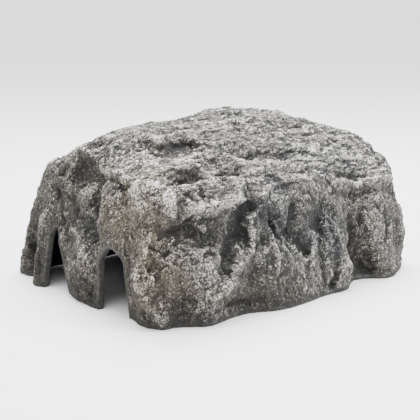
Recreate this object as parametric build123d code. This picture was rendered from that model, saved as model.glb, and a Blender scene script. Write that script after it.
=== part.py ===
"""Resin cave ornament: a hollow rock with two arched doors, laid up by hand in one mould.

Millimetres. X runs along the long front, Y to the rear, Z up. The doors are in the left end,
which faces -X. The outlines below are worked round a point under the roof; every piece is
moved on saving, so that the origin is on the floor at the middle of the rock's length and depth.
"""
from build123d import *
import math
import os
import numpy as np

# ---- driving sizes ----
FRONT_CELLS = 26            # facets along the front and the rear
END_CELLS = 19              # facets along each end
WALL_ROWS = 9               # facet rows between the rim and the brow
SKIN = 1.5                  # painted stone coat
LAMINATE = 4.0              # glass mat and resin behind the coat
RIM_HEIGHT = 8.0            # resin bead that closes the open foot
RIM_WIDTH = 10.0            # how far the bead reaches into the hollow
LIP_WIDTH = 5.0             # smooth band round each door
REAR_GAP = 2.5              # the rear rim is not trimmed flush, so it clears the floor
CROWN_RISE = 31.0           # how far the roof domes above the brow
CREST_BACK = 0.12           # how far the crest lies behind the middle, in half depths
STRAIGHT_LEAN = 0.6         # share of a wall's lean that is straight; the rest bends in at the brow

# ---- where the rock meets the floor, x y, walking front, right end, rear, left end ----
FRONT_FOOT = [(-280, -188), (-262, -208), (-239, -215), (-197, -238), (-150, -230), (-112, -228),
              (-76, -244), (-46, -250), (0, -246), (45, -239), (100, -235), (128, -218),
              (152, -207), (178, -214), (213, -230), (250, -214), (292, -190)]
RIGHT_FOOT = [(292, -190), (298, -140), (290, -85), (296, -30), (300, 30), (292, 90),
              (280, 140), (262, 185)]
REAR_FOOT = [(262, 185), (205, 203), (140, 198), (70, 208), (0, 200), (-80, 206), (-150, 200),
             (-225, 208), (-286, 203)]
LEFT_FOOT = [(-286, 203), (-290, 160), (-303, 126), (-303, 104), (-294, 90), (-286, 45),
             (-292, -5), (-294, -50), (-284, -95), (-276, -135), (-282, -165), (-280, -188)]

# ---- the brow, where each wall turns over into the roof, x y z ----
FRONT_BROW = [(-264, -160, 214), (-240, -182, 222), (-200, -188, 222), (-150, -192, 214),
              (-90, -196, 206), (-30, -198, 208), (40, -196, 208), (110, -190, 200),
              (170, -188, 190), (220, -184, 186), (262, -168, 190)]
RIGHT_BROW = [(262, -168, 190), (276, -110, 222), (278, -50, 236), (272, 10, 238), (264, 70, 230),
              (250, 130, 214), (228, 172, 196)]
REAR_BROW = [(228, 172, 196), (150, 184, 214), (60, 186, 220), (-40, 186, 218), (-130, 186, 210),
             (-216, 184, 190)]
LEFT_BROW = [(-216, 184, 190), (-236, 130, 214), (-246, 62, 240), (-250, 0, 227), (-254, -60, 216),
             (-262, -120, 212), (-264, -160, 214)]

# ---- big relief: name, path x y z, reach, push out (+) or in (-), side that breaks off steeply ----
RELIEF = [
    ("rear corner shoulder", [(-247, 166, 173), (-260, 176, 130)], 56, 10, None),
    ("rear corner foot", [(-272, 190, 80), (-288, 198, 20)], 55, 9, None),
    ("hollow over the rear door", [(-271, 94, 163)], 32, -6, None),
    ("left brow crest", [(-244, 70, 241), (-248, 20, 235), (-251, -17, 224), (-258, -110, 215)],
     26, 5, "left"),
    ("dark facet under the left brow", [(-264, 14, 204), (-259, -24, 212)], 42, -11, None),
    ("left brow spur", [(-253, 56, 232), (-265, 59, 183)], 30, 7, "far"),
    ("tear drop above the centre pillar", [(-268, 2, 178), (-276, -8, 141)], 24, 6, None),
    ("recess above the centre pillar", [(-271, -34, 180), (-277, -15, 134), (-281, -33, 112)],
     36, -12, None),
    ("near shoulder lobe", [(-267, -62, 182), (-271, -80, 156), (-271, -98, 130)], 54, 11, None),
    ("centre pillar belly", [(-286, -12, 76), (-291, 4, 40)], 58, 12, None),
    ("rear pillar rib", [(-283, 118, 112), (-294, 120, 54), (-303, 118, 6)], 28, 6, None),
    ("rear pillar groove", [(-281, 166, 60), (-289, 159, 4)], 26, -8, None),
    ("near corner ridge", [(-268, -160, 200), (-272, -166, 104), (-276, -172, 66)], 44, 6, "right"),
    ("near corner foot ridge", [(-276, -176, 72), (-263, -205, 20)], 32, 6, "right"),
    ("near shoulder boss", [(-262, -176, 190), (-243, -188, 186)], 54, 11, "right"),
    ("lip over the front recess", [(-200, -209, 176), (-161, -209, 180), (-126, -206, 181)],
     36, 15, "down"),
    ("front recess", [(-243, -200, 143), (-222, -208, 138), (-196, -218, 131)], 40, -13, None),
    ("gully below the recess", [(-128, -213, 140), (-148, -217, 113), (-164, -224, 78)], 26, -9, None),
    ("front diagonal ridge", [(-104, -215, 130), (-112, -218, 103), (-139, -220, 83), (-166, -226, 60)],
     42, 11, "left"),
    ("front diagonal ridge foot", [(-160, -226, 60), (-205, -228, 26)], 36, 8, None),
    ("front slab", [(-98, -224, 81), (-109, -226, 45)], 62, 11, None),
    ("front slab left of the gully", [(-226, -211, 101), (-213, -222, 70)], 60, 9, None),
    ("front upper slab", [(-68, -215, 182), (-45, -222, 155)], 46, 9, None),
    ("front crack", [(-68, -223, 146), (-33, -233, 106)], 24, -10, None),
    ("front notch", [(-13, -222, 156), (-24, -229, 124), (6, -233, 87)], 32, -10, None),
    ("front rib", [(60, -222, 122), (79, -226, 86), (92, -229, 50)], 34, 7, "left"),
    ("hollow beside the rib", [(36, -223, 122)], 32, -7, None),
    ("right boss", [(176, -206, 112), (186, -212, 84)], 70, 14, None),
    ("hollow over the right foot", [(136, -209, 46), (160, -207, 34)], 40, -13, None),
    ("right foot", [(205, -222, 16), (262, -204, 14)], 44, 6, None),
    ("middle foot", [(92, -233, 24)], 38, 8, None),
    ("long ledge", [(114, -198, 173), (180, -199, 170), (236, -188, 166)], 38, 10, "down"),
    ("bay above the long ledge", [(107, -194, 194), (184, -191, 187)], 32, -6, None),
    ("brow hollow", [(-47, -206, 196)], 34, -8, None),
    ("roof pit near the front", [(-111, -170, 221), (-146, -152, 231)], 38, -11, None),
    ("pit under the front left step", [(-238, -182, 222), (-212, -184, 223), (-182, -178, 224)],
     28, -10, None),
    ("front left roof step", [(-236, -138, 222), (-200, -160, 230), (-152, -158, 230)], 34, 6, "near"),
    ("roof pit left of middle", [(-176, -98, 248), (-128, -94, 250)], 42, -10, None),
    ("ledge over the left pit", [(-190, -56, 257), (-112, -68, 257)], 36, 6, "near"),
    ("roof pit at the middle", [(-43, -136, 240), (20, -151, 237)], 42, -8, None),
    ("roof pit at the crest", [(96, -72, 266), (130, -60, 266)], 42, -8, None),
    ("left roof dip", [(-170, 80, 266), (-70, 100, 272)], 130, -17, None),
    ("right roof dip", [(206, -40, 262), (180, 40, 272)], 90, -8, None),
    ("right corner", [(296, -184, 56), (284, -176, 100)], 46, 11, None),
    ("right end bulge", [(297, -110, 80), (296, -40, 110)], 80, 9, "down"),
    ("right end gully", [(292, 0, 60), (284, 10, 160)], 46, -10, None),
    ("right end ridge", [(290, 90, 40), (272, 86, 170)], 50, 9, None),
    ("right end ledge", [(274, -60, 196), (270, 60, 190)], 36, 8, "down"),
    ("rear bulge", [(150, 200, 90), (90, 198, 140)], 80, 11, "down"),
    ("rear gully", [(10, 202, 30), (-10, 196, 170)], 46, -11, None),
    ("rear slab", [(-120, 202, 120), (-170, 202, 60)], 70, 10, None),
    ("rear ledge", [(-150, 196, 168), (-40, 196, 176)], 38, 9, "down"),
]
DOWNHILL = {"down": (0, 0, -1), "left": (-1, 0, 0), "right": (1, 0, 0), "far": (0, 1, 0),
            "near": (0, -1, 0)}
STEEPER = 2.2               # how much steeper the named side is than the others

# ---- the two doors, in the left end: y of each jamb at the floor and at the springing ----
FRONT_DOOR = {"far_foot": -64, "far_spring": -60, "near_foot": -130, "near_spring": -113,
              "spring": 75, "top": 104}
REAR_DOOR = {"far_foot": 98, "far_spring": 97, "near_foot": 38, "near_spring": 79,
             "spring": 82, "top": 106}
DOOR_ARC_STEPS = 12
BAR_START = -400            # the bars that cut the doors start this far out, clear of the left end
BAR_LENGTH = 210
BAR_BELOW = 20              # and reach this far below the floor


def along(points, share):
    """Points of a smooth curve through the given points, at shares 0..1 of its length."""
    pts = np.array(points, float)
    run = np.concatenate([[0], np.cumsum(np.linalg.norm(np.diff(pts, axis=0), axis=1))])
    place = np.interp(share, run / run[-1], np.arange(len(pts)))
    i = np.clip(place.astype(int), 0, len(pts) - 2)
    f = (place - i)[:, None]
    a = pts[i]
    b = pts[i + 1]
    slope_a = (b - pts[np.maximum(i - 1, 0)]) / 2
    slope_b = (pts[np.minimum(i + 2, len(pts) - 1)] - a) / 2
    return (a * (2 * f**3 - 3 * f**2 + 1) + b * (3 * f**2 - 2 * f**3)
            + slope_a * (f**3 - 2 * f**2 + f) + slope_b * (f**3 - f**2))


def ring(sides):
    """One closed ring of points round the rock, each side cut into equal cells."""
    counts = (FRONT_CELLS, END_CELLS, FRONT_CELLS, END_CELLS)
    return np.concatenate([along(side, np.arange(n) / n) for side, n in zip(sides, counts)])


def wall_rows(foot, brow):
    """Rings of points from the floor to the brow; the lowest two bound the rim."""
    rim = RIM_HEIGHT / brow[:, 2]
    rows = [np.zeros(len(foot)), rim]
    for k in range(1, WALL_ROWS + 1):
        rows.append(rim + (1 - rim) * k / WALL_ROWS)
    h = np.array(rows)
    lean = STRAIGHT_LEAN * h + (1 - STRAIGHT_LEAN) * (1 - np.sqrt(np.clip(1 - h**4, 0, 1)))
    x = foot[:, 0] + (brow[:, 0] - foot[:, 0]) * lean
    y = foot[:, 1] + (brow[:, 1] - foot[:, 1]) * lean
    return np.stack([x, y, brow[:, 2] * h], -1)


def roof_grid(brow):
    """The domed roof, stretched between the four sides of the brow."""
    n, m = FRONT_CELLS, END_CELLS
    front = brow[:n + 1]
    right = brow[n:n + m + 1]
    rear = brow[n + m:2 * n + m + 1][::-1]
    left = np.concatenate([brow[2 * n + m:], brow[:1]])[::-1]
    s = np.linspace(0, 1, n + 1)[:, None, None]
    t = np.linspace(0, 1, m + 1)[None, :, None]
    corners = ((1 - s) * (1 - t) * front[0] + s * (1 - t) * front[-1]
               + (1 - s) * t * rear[0] + s * t * rear[-1])
    grid = ((1 - t) * front[:, None] + t * rear[:, None]
            + (1 - s) * left[None] + s * right[None] - corners)
    across = np.abs(2 * s[..., 0] - 1)
    deep = 2 * t[..., 0] - 1
    deep = np.abs(deep - CREST_BACK * (1 - deep**2))
    grid[..., 2] += CROWN_RISE * (1 - across**6) * (1 - deep**3)
    return grid


def rock_facets():
    """Corner points of the rock and its triangles, grouped by the mat sheet they belong to."""
    foot = ring((FRONT_FOOT, RIGHT_FOOT, REAR_FOOT, LEFT_FOOT))
    brow = ring((FRONT_BROW, RIGHT_BROW, REAR_BROW, LEFT_BROW))
    rows = wall_rows(foot, brow)
    roof = roof_grid(brow)
    count = len(foot)
    last = (len(rows) - 1) * count
    n, m = FRONT_CELLS, END_CELLS
    number = np.full((n + 1, m + 1), -1)
    number[:, 0] = last + np.arange(n + 1)
    number[n, :] = last + n + np.arange(m + 1)
    number[::-1, m] = last + n + m + np.arange(n + 1)
    number[0, ::-1] = last + (2 * n + m + np.arange(m + 1)) % count
    number[1:n, 1:m] = len(rows) * count + np.arange((n - 1) * (m - 1)).reshape(n - 1, m - 1)
    points = np.concatenate([rows.reshape(-1, 3), roof[1:n, 1:m].reshape(-1, 3)])
    starts = np.cumsum([0, n, m, n, m])
    groups = {}
    for side, name in enumerate(("front", "right", "rear", "left")):
        columns = range(starts[side], starts[side + 1])
        groups[name] = wall_triangles(columns, range(1, len(rows) - 1), count)
        groups[name + " rim"] = wall_triangles(columns, range(0, 1), count)
    groups["crown"] = roof_triangles(number)
    return points, groups


def wall_triangles(columns, rows, count):
    """Two triangles for each cell of a wall, facing out."""
    found = []
    for k in rows:
        for i in columns:
            j = (i + 1) % count
            a, b, c, d = k * count + i, k * count + j, (k + 1) * count + j, (k + 1) * count + i
            found += [(a, b, c), (a, c, d)]
    return found


def roof_triangles(number):
    """Two triangles for each cell of the roof, facing up."""
    found = []
    for i in range(number.shape[0] - 1):
        for j in range(number.shape[1] - 1):
            a, b = number[i, j], number[i + 1, j]
            c, d = number[i + 1, j + 1], number[i, j + 1]
            found += [(a, b, c), (a, c, d)]
    return found


def outward(points, triangles):
    """Unit vector pointing out of the rock at each point, level near the floor."""
    tri = np.array(triangles)
    normal = np.cross(points[tri[:, 1]] - points[tri[:, 0]], points[tri[:, 2]] - points[tri[:, 0]])
    total = np.zeros_like(points)
    for corner in range(3):
        np.add.at(total, tri[:, corner], normal)
    total[:, 2] *= np.clip((points[:, 2] - RIM_HEIGHT - 1) / 40, 0, 1)
    return total / np.linalg.norm(total, axis=1)[:, None]


def reach_to_path(points, path, steep_side=None):
    """Distance of each point from a bent line; on its steep side the distance counts for more."""
    path = np.array(path, float)
    best = np.full(len(points), np.inf)
    for a, b in zip(path, np.concatenate([path[1:], path[-1:]])):
        share = np.clip((points - a) @ (b - a) / max((b - a) @ (b - a), 1e-9), 0, 1)
        gap = points - a - share[:, None] * (b - a)
        if steep_side:
            downhill = np.array(DOWNHILL[steep_side])
            gap = gap + downhill * np.clip(gap @ downhill, 0, None)[:, None] * (STEEPER - 1)
        best = np.minimum(best, np.linalg.norm(gap, axis=1))
    return best


def carve(points, triangles):
    """Push every point in or out by the big relief."""
    push = np.zeros(len(points))
    for _, path, reach, height, steep_side in RELIEF:
        near = np.clip(1 - reach_to_path(points, path, steep_side) / reach, 0, 1)
        push += height * near**2 * (3 - 2 * near)
    return points + outward(points, triangles) * push[:, None]


def closed_solid(faces):
    """A solid from the triangles that bound it."""
    sheet = []
    for corners in faces:
        sheet.append(Face(Wire.make_polygon([Vector(*corner) for corner in corners], close=True)))
    return Solid(Shell(sheet))


def plate(outer, inner, triangles):
    """A solid sheet between two surfaces that share the same triangles."""
    edges = {}
    faces = []
    for a, b, c in triangles:
        faces.append((outer[a], outer[b], outer[c]))
        faces.append((inner[a], inner[c], inner[b]))
        for pair in ((a, b), (b, c), (c, a)):
            edges[pair] = True
    for a, b in edges:
        if (b, a) in edges:
            continue
        low, high = min(a, b), max(a, b)
        faces.append((outer[low], outer[high], inner[low]))
        faces.append((outer[high], inner[high], inner[low]))
    return closed_solid(faces)


def rim_bead(outer, inner, lift, columns):
    """The bead that closes the foot: flat on top, resting on the floor unless it is lifted."""
    count = len(outer)
    faces = []
    for i in columns:
        j = (i + 1) % count
        top_out = [(*outer[q], RIM_HEIGHT) for q in (i, j)]
        top_in = [(*inner[q], RIM_HEIGHT) for q in (i, j)]
        low_out = [(*outer[q], lift[q]) for q in (i, j)]
        low_in = [(*inner[q], lift[q]) for q in (i, j)]
        faces += quad(low_out[0], low_out[1], top_out[1], top_out[0])
        faces += quad(low_in[1], low_in[0], top_in[0], top_in[1])
        faces += quad(top_out[0], top_out[1], top_in[1], top_in[0])
        faces += quad(low_out[1], low_out[0], low_in[0], low_in[1])
    for q in (columns[0], (columns[-1] + 1) % count):
        faces += quad((*outer[q], lift[q]), (*outer[q], RIM_HEIGHT),
                      (*inner[q], RIM_HEIGHT), (*inner[q], lift[q]))
    return closed_solid(faces)


def quad(a, b, c, d):
    """Two triangles over four corners."""
    return [(a, b, c), (a, c, d)]


def door_outline(door, grow):
    """Corner points y z of an arched door, grown by the lip width where asked."""
    far_foot = door["far_foot"] + grow
    near_foot = door["near_foot"] - grow
    far = door["far_spring"] + grow
    near = door["near_spring"] - grow
    rise = door["top"] + grow - door["spring"]
    points = [(near_foot, -BAR_BELOW), (far_foot, -BAR_BELOW), (far_foot, 0)]
    for step in range(DOOR_ARC_STEPS + 1):
        turn = math.pi * step / DOOR_ARC_STEPS
        points.append(((far + near) / 2 + (far - near) / 2 * math.cos(turn),
                       door["spring"] + rise * math.sin(turn)))
    points.append((near_foot, 0))
    return points


def door_cutter(door, grow):
    """A long bar of the door's outline, running in X through the left end."""
    corners = [Vector(BAR_START, y, z) for y, z in door_outline(door, grow)]
    return extrude(Face(Wire.make_polygon(corners, close=True)), amount=BAR_LENGTH, dir=(1, 0, 0))


def only_solid(shape):
    """The largest solid of a result."""
    return max(shape.solids(), key=lambda s: s.volume)


def save(shape, name, middle):
    """Write one piece, moved so that the middle of the rock is the origin."""
    shape = shape.moved(Location((-middle[0], -middle[1], 0)))
    shape.label = name
    export_step(shape, os.path.join("parts", name + ".step"))
    print(name, round(shape.volume), "mm3", "valid" if shape.is_valid else "NOT VALID")


def main():
    """Lay up the rock, cut the doors through it and save every piece."""
    os.makedirs("parts", exist_ok=True)
    points, groups = rock_facets()
    everything = [t for group in groups.values() for t in group]
    face = carve(points, everything)
    away = outward(face, everything)
    back = face - away * SKIN
    inside = back - away * LAMINATE
    middle = (face.min(axis=0) + face.max(axis=0)) / 2
    sheets = {name: groups[name] for name in ("front", "right", "rear", "left", "crown")}
    above_rim = [t for group in sheets.values() for t in group]

    wide = [door_cutter(door, LIP_WIDTH) for door in (FRONT_DOOR, REAR_DOOR)]
    narrow = [door_cutter(door, 0) for door in (FRONT_DOOR, REAR_DOOR)]

    skin = plate(face, back, above_rim)
    for bar in wide:
        skin = only_solid(skin - bar)
    save(skin, "stone_skin", middle)

    names = {"front": "front_laminate", "right": "right_end_laminate", "rear": "rear_laminate",
             "left": "left_end_laminate", "crown": "crown_laminate"}
    for side, name in names.items():
        sheet = plate(back, inside, sheets[side])
        if side == "left":
            for bar in wide:
                sheet = only_solid(sheet - bar)
        save(sheet, name, middle)

    count = 2 * (FRONT_CELLS + END_CELLS)
    outer = face[:count, :2]
    inner = outer - away[:count, :2] * RIM_WIDTH
    starts = np.cumsum([0, FRONT_CELLS, END_CELLS, FRONT_CELLS, END_CELLS])
    lift = np.zeros(count)
    rear_share = np.arange(FRONT_CELLS + 1) / FRONT_CELLS
    lift[starts[2]:starts[3] + 1] = REAR_GAP * np.clip(6 * np.minimum(rear_share, 1 - rear_share), 0, 1)
    beads = {}
    for side, name in enumerate(("front", "right", "rear", "left")):
        beads[name] = rim_bead(outer, inner, lift, list(range(starts[side], starts[side + 1])))
    save(beads["front"], "front_rim", middle)
    save(beads["right"], "right_end_rim", middle)
    save(beads["rear"], "rear_rim", middle)
    feet = beads["left"]
    for bar in wide:
        feet = feet - bar
    feet = sorted(feet.solids(), key=lambda s: -s.center().Y)
    for foot, name in zip(feet, ("rear_pillar_foot", "centre_pillar_foot", "near_pillar_foot")):
        save(foot, name, middle)

    for bar, hole, name in zip(wide, narrow, ("front_door_lip", "rear_door_lip")):
        band = bar - hole
        lip = plate(face, inside, sheets["left"]) & band
        foot = beads["left"] & band
        pieces = [s for s in lip.solids()] + [s for s in foot.solids()]
        whole = pieces[0]
        for piece in pieces[1:]:
            whole = whole + piece
        save(only_solid(whole), name, middle)


if __name__ == "__main__":
    main()
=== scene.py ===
"""Looks of the resin cave ornament: chipped and dry-brushed stone coat with painted highlights and
painted shade, smooth door lips, black laminate inside and a dark resin foot, on a plain pale floor.

The rock is the same form as the CAD part: the same outlines at foot and brow and the same big
relief, worked in millimetres, sampled finely, fitted to the frame's box, then chipped by
noise. Everything in Blender is in metres.
"""

import math

import bpy
import numpy as np
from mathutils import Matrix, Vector, noise


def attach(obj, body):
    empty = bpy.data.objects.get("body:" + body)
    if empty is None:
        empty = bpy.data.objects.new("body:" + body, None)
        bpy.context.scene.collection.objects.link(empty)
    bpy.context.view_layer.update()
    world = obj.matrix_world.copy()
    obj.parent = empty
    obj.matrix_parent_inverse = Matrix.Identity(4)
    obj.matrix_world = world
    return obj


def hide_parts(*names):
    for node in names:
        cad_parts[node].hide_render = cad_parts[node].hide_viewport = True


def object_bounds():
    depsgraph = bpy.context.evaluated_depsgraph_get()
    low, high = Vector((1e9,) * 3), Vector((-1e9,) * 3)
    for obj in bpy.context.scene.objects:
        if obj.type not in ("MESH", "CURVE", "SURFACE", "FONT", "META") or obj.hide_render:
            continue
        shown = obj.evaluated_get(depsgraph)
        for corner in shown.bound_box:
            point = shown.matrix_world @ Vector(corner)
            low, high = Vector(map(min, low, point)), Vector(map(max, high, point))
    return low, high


NOISE_SEED = 3              # the vector noise takes its offsets from this, the same on each run

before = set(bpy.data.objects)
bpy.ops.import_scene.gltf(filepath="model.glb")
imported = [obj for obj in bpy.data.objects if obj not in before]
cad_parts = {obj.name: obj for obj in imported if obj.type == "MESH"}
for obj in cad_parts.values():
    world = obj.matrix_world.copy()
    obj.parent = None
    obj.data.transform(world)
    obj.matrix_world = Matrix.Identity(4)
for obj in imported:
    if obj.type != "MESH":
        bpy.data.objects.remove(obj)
cad_low, cad_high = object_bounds()
noise.seed_set(NOISE_SEED)

# ---- fineness and thickness, mm ----
CELL = 2.1
INNER_CELL = 7.0            # the laminate inside is coarser
FRONT_RUN = 570.0           # lengths that the cells divide: along the front, along an end, up a wall
END_RUN = 390.0
WALL_RUN = 232.0
STICK = 0.55                # points this near a door's edge, in cells, are moved onto it
SMOOTH_WALL = 8.5           # the laminate hangs this far behind the smooth rock
MAT_THICKNESS = 3.0
FOOT_LINE = 3.0             # the stone coat stops here, the dark rim shows below
RIM_HEIGHT = 8.0
RIM_WIDTH = 10.0
REAR_GAP = 2.5              # the rear rim clears the floor
LIP_WIDTH = 5.0             # smooth band round each door
LIP_DEPTH = 12.0            # how deep the jambs show
LIP_SHOWS = 2.2             # how much of the band the stone coat leaves bare
DOOR_CALM = 3.0             # no chipping this close to a door
DOOR_QUIET = 9.0            # and it takes this much further to come back in full
CALM_BELOW = 12.0           # the chipping is weaker under this height
RAISED_BELOW = 30.0         # under this height the coat is drawn up to the foot line
LEVEL_BELOW = 9.0           # relief only moves sideways under this height
LEVEL_FADE = 40.0           # and is free this much further up
DOOR_ARC_STEPS = 48
JAMB_STEPS = 9
DOOR_BELOW = 30.0           # the doors' outline runs on this far below the floor
LEFT_END_INNER = -200.0     # the doors cut nothing to the right of this x

# ---- paint colours, linear ----
GREY_DARK = (0.017, 0.0165, 0.016)
GREY_MID = (0.062, 0.059, 0.053)
GREY_SMOOTH = (0.052, 0.050, 0.045)
BROWN = (0.056, 0.046, 0.032)
BLUE_GREY = (0.028, 0.031, 0.038)
# dark wash: partly the paint's own wash, partly painted shade in what is sunk and in the pits
WASH_AND_SHADE = (0.006, 0.006, 0.006)
PALE = (0.28, 0.268, 0.245)
PALE_WARM = (0.23, 0.202, 0.155)
OFF_WHITE = (0.84, 0.81, 0.76)
FOOT_DARK = (0.018, 0.018, 0.018)
FOOT_WORN = (0.075, 0.072, 0.066)
LIP_DARK = (0.010, 0.010, 0.010)
LIP_GREY = (0.085, 0.082, 0.076)
RESIN_BLACK = (0.006, 0.006, 0.006)
RESIN_GREY = (0.02, 0.02, 0.019)
FLOOR_SHADE = (0.90, 0.90, 0.90)
FLOOR_WHITE = (0.93, 0.93, 0.93)

# ---- studio, metres and watts ----
FLOOR_HALF = 150.0
WALL_LIGHT = 0.35           # brightness of the surroundings just over the horizon
HORIZON_GLOW = 1.4          # added right at the horizon, so that the floor runs on into it
HORIZON_GLOW_HEIGHT = 0.14
ZENITH_LIGHT = 3.4
TOP_LIGHT = 205
FRONT_LIGHT = 120
CAMERA_PLACE = (-1.0574, -1.3139, 0.4958)
CAMERA_YAW = 38.2           # degrees round from square to the front
CAMERA_PITCH = 12.67        # degrees down
CAMERA_LENS = 82.7

# ---- where the rock meets the floor, x y, walking front, right end, rear, left end ----
FRONT_FOOT = [(-280, -188), (-262, -208), (-239, -215), (-197, -238), (-150, -230), (-112, -228),
              (-76, -244), (-46, -250), (0, -246), (45, -239), (100, -235), (128, -218),
              (152, -207), (178, -214), (213, -230), (250, -214), (292, -190)]
RIGHT_FOOT = [(292, -190), (298, -140), (290, -85), (296, -30), (300, 30), (292, 90),
              (280, 140), (262, 185)]
REAR_FOOT = [(262, 185), (205, 203), (140, 198), (70, 208), (0, 200), (-80, 206), (-150, 200),
             (-225, 208), (-286, 203)]
LEFT_FOOT = [(-286, 203), (-290, 160), (-303, 126), (-303, 104), (-294, 90), (-286, 45),
             (-292, -5), (-294, -50), (-284, -95), (-276, -135), (-282, -165), (-280, -188)]
# ---- the brow, where each wall turns over into the roof, x y z ----
FRONT_BROW = [(-264, -160, 214), (-240, -182, 222), (-200, -188, 222), (-150, -192, 214),
              (-90, -196, 206), (-30, -198, 208), (40, -196, 208), (110, -190, 200),
              (170, -188, 190), (220, -184, 186), (262, -168, 190)]
RIGHT_BROW = [(262, -168, 190), (276, -110, 222), (278, -50, 236), (272, 10, 238), (264, 70, 230),
              (250, 130, 214), (228, 172, 196)]
REAR_BROW = [(228, 172, 196), (150, 184, 214), (60, 186, 220), (-40, 186, 218), (-130, 186, 210),
             (-216, 184, 190)]
LEFT_BROW = [(-216, 184, 190), (-236, 130, 214), (-246, 62, 240), (-250, 0, 227), (-254, -60, 216),
             (-262, -120, 212), (-264, -160, 214)]
CROWN_RISE = 31.0           # how far the roof domes above the brow
CREST_BACK = 0.12           # how far the crest lies behind the middle, in half depths
STRAIGHT_LEAN = 0.6         # share of a wall's lean that is straight
BENT_LEAN = 0.4             # share that comes in near the brow

# ---- the doors, in the left end: y of each jamb at the floor and at the springing, z ----
DOORS = {
    "front": {"far_foot": -64, "far_spring": -60, "near_foot": -130, "near_spring": -113,
              "spring": 75, "top": 104},
    "rear": {"far_foot": 98, "far_spring": 97, "near_foot": 38, "near_spring": 79,
             "spring": 82, "top": 106},
}
# ---- big relief: name, path x y z, reach, push out (+) or in (-), and the side that breaks off
#      steeply, if one does ----
RELIEF = [
    ("rear corner shoulder", [(-247, 166, 173), (-260, 176, 130)], 56, 10),
    ("rear corner foot", [(-272, 190, 80), (-288, 198, 20)], 55, 9),
    ("hollow over the rear door", [(-271, 94, 163)], 32, -6),
    ("left brow crest", [(-244, 70, 241), (-248, 20, 235), (-251, -17, 224), (-258, -110, 215)],
     26, 5, "left"),
    ("dark facet under the left brow", [(-264, 14, 204), (-259, -24, 212)], 42, -11),
    ("left brow spur", [(-253, 56, 232), (-265, 59, 183)], 30, 7, "far"),
    ("tear drop above the centre pillar", [(-268, 2, 178), (-276, -8, 141)], 24, 6),
    ("recess above the centre pillar", [(-271, -34, 180), (-277, -15, 134), (-281, -33, 112)],
     36, -12),
    ("near shoulder lobe", [(-267, -62, 182), (-271, -80, 156), (-271, -98, 130)], 54, 11),
    ("centre pillar belly", [(-286, -12, 76), (-291, 4, 40)], 58, 12),
    ("rear pillar rib", [(-283, 118, 112), (-294, 120, 54), (-303, 118, 6)], 28, 6),
    ("rear pillar groove", [(-281, 166, 60), (-289, 159, 4)], 26, -8),
    ("near corner ridge", [(-268, -160, 200), (-272, -166, 104), (-276, -172, 66)], 44, 6, "right"),
    ("near corner foot ridge", [(-276, -176, 72), (-263, -205, 20)], 32, 6, "right"),
    ("near shoulder boss", [(-262, -176, 190), (-243, -188, 186)], 54, 11, "right"),
    ("lip over the front recess", [(-200, -209, 176), (-161, -209, 180), (-126, -206, 181)],
     36, 15, "down"),
    ("front recess", [(-243, -200, 143), (-222, -208, 138), (-196, -218, 131)], 40, -13),
    ("gully below the recess", [(-128, -213, 140), (-148, -217, 113), (-164, -224, 78)], 26, -9),
    ("front diagonal ridge", [(-104, -215, 130), (-112, -218, 103), (-139, -220, 83), (-166, -226, 60)],
     42, 11, "left"),
    ("front diagonal ridge foot", [(-160, -226, 60), (-205, -228, 26)], 36, 8),
    ("front slab", [(-98, -224, 81), (-109, -226, 45)], 62, 11),
    ("front slab left of the gully", [(-226, -211, 101), (-213, -222, 70)], 60, 9),
    ("front upper slab", [(-68, -215, 182), (-45, -222, 155)], 46, 9),
    ("front crack", [(-68, -223, 146), (-33, -233, 106)], 24, -10),
    ("front notch", [(-13, -222, 156), (-24, -229, 124), (6, -233, 87)], 32, -10),
    ("front rib", [(60, -222, 122), (79, -226, 86), (92, -229, 50)], 34, 7, "left"),
    ("hollow beside the rib", [(36, -223, 122)], 32, -7),
    ("right boss", [(176, -206, 112), (186, -212, 84)], 70, 14),
    ("hollow over the right foot", [(136, -209, 46), (160, -207, 34)], 40, -13),
    ("right foot", [(205, -222, 16), (262, -204, 14)], 44, 6),
    ("middle foot", [(92, -233, 24)], 38, 8),
    ("long ledge", [(114, -198, 173), (180, -199, 170), (236, -188, 166)], 38, 10, "down"),
    ("bay above the long ledge", [(107, -194, 194), (184, -191, 187)], 32, -6),
    ("brow hollow", [(-47, -206, 196)], 34, -8),
    ("roof pit near the front", [(-111, -170, 221), (-146, -152, 231)], 38, -11),
    ("pit under the front left step", [(-238, -182, 222), (-212, -184, 223), (-182, -178, 224)],
     28, -10),
    ("front left roof step", [(-236, -138, 222), (-200, -160, 230), (-152, -158, 230)], 34, 6, "near"),
    ("roof pit left of middle", [(-176, -98, 248), (-128, -94, 250)], 42, -10),
    ("ledge over the left pit", [(-190, -56, 257), (-112, -68, 257)], 36, 6, "near"),
    ("roof pit at the middle", [(-43, -136, 240), (20, -151, 237)], 42, -8),
    ("roof pit at the crest", [(96, -72, 266), (130, -60, 266)], 42, -8),
    ("left roof dip", [(-170, 80, 266), (-70, 100, 272)], 130, -17),
    ("right roof dip", [(206, -40, 262), (180, 40, 272)], 90, -8),
    ("right corner", [(296, -184, 56), (284, -176, 100)], 46, 11),
    ("right end bulge", [(297, -110, 80), (296, -40, 110)], 80, 9, "down"),
    ("right end gully", [(292, 0, 60), (284, 10, 160)], 46, -10),
    ("right end ridge", [(290, 90, 40), (272, 86, 170)], 50, 9),
    ("right end ledge", [(274, -60, 196), (270, 60, 190)], 36, 8, "down"),
    ("rear bulge", [(150, 200, 90), (90, 198, 140)], 80, 11, "down"),
    ("rear gully", [(10, 202, 30), (-10, 196, 170)], 46, -11),
    ("rear slab", [(-120, 202, 120), (-170, 202, 60)], 70, 10),
    ("rear ledge", [(-150, 196, 168), (-40, 196, 176)], 38, 9, "down"),
]
DOWNHILL = {"down": (0, 0, -1), "left": (-1, 0, 0), "right": (1, 0, 0), "far": (0, 1, 0),
            "near": (0, -1, 0)}
STEEPER = 2.2               # how much steeper the named side is than the others

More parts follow.
